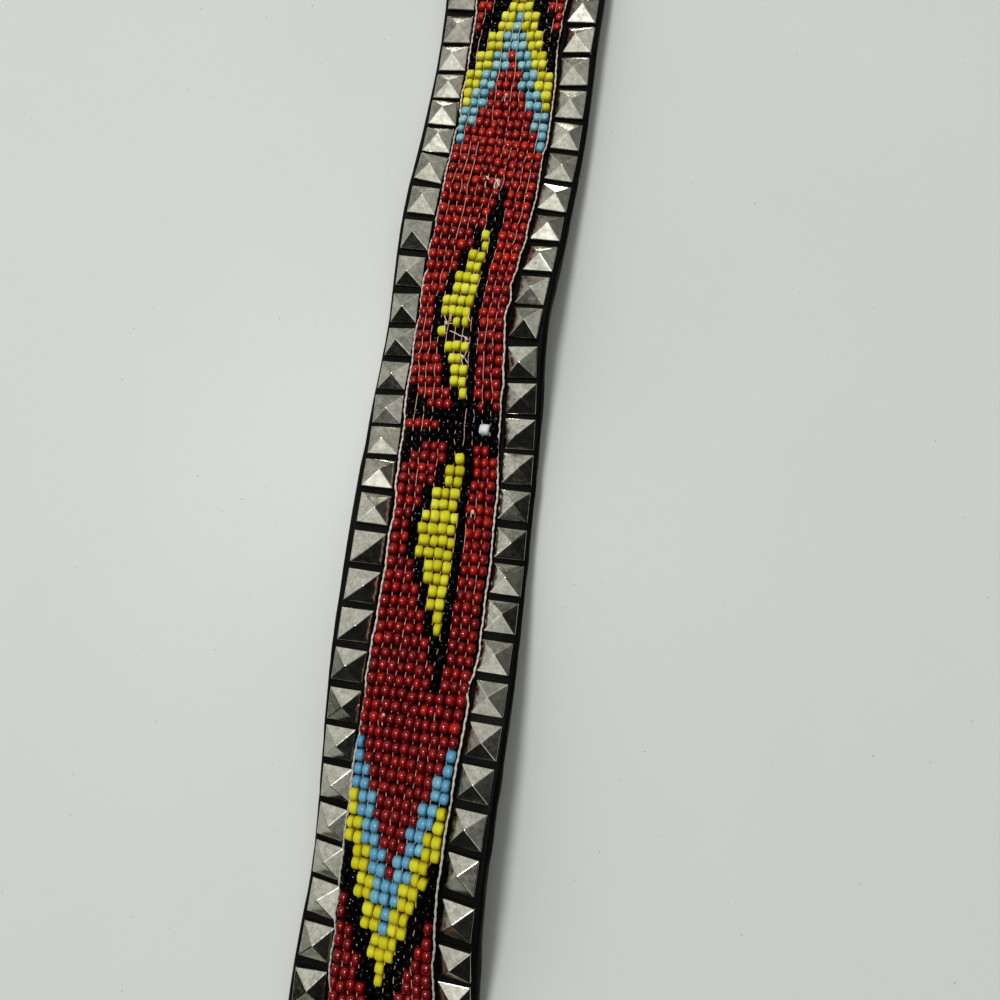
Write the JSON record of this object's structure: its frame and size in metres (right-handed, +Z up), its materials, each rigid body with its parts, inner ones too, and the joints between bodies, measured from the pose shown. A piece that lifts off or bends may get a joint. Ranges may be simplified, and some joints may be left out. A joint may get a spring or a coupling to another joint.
{
  "type": "beaded belt",
  "caption": "Leather belt with a bead-woven panel of bird and arrow figures between two rows of pyramid studs, with a prong buckle.",
  "frame": {"origin": "middle of the belt's outline, on the surface that it lies on", "axes": "+Y from the buckle to the tip, +X to the right seen from above, +Z up"},
  "size_m": [0.058, 1.0738, 0.0228],
  "materials": {
    "black_leather": "satin",
    "red_beads": "gloss",
    "yellow_beads": "gloss",
    "blue_beads": "gloss",
    "black_beads": "gloss",
    "white_beads": "gloss",
    "cream_thread": "matte",
    "aged_nickel": "worn",
    "buckle_steel": "worn"
  },
  "bodies": {
    "root": {"leather_strap": "black_leather", "beadwork_panel": "red_beads", "stud_row_left": "aged_nickel", "stud_row_right": "aged_nickel", "buckle": "buckle_steel"}
  },
  "joints": []
}
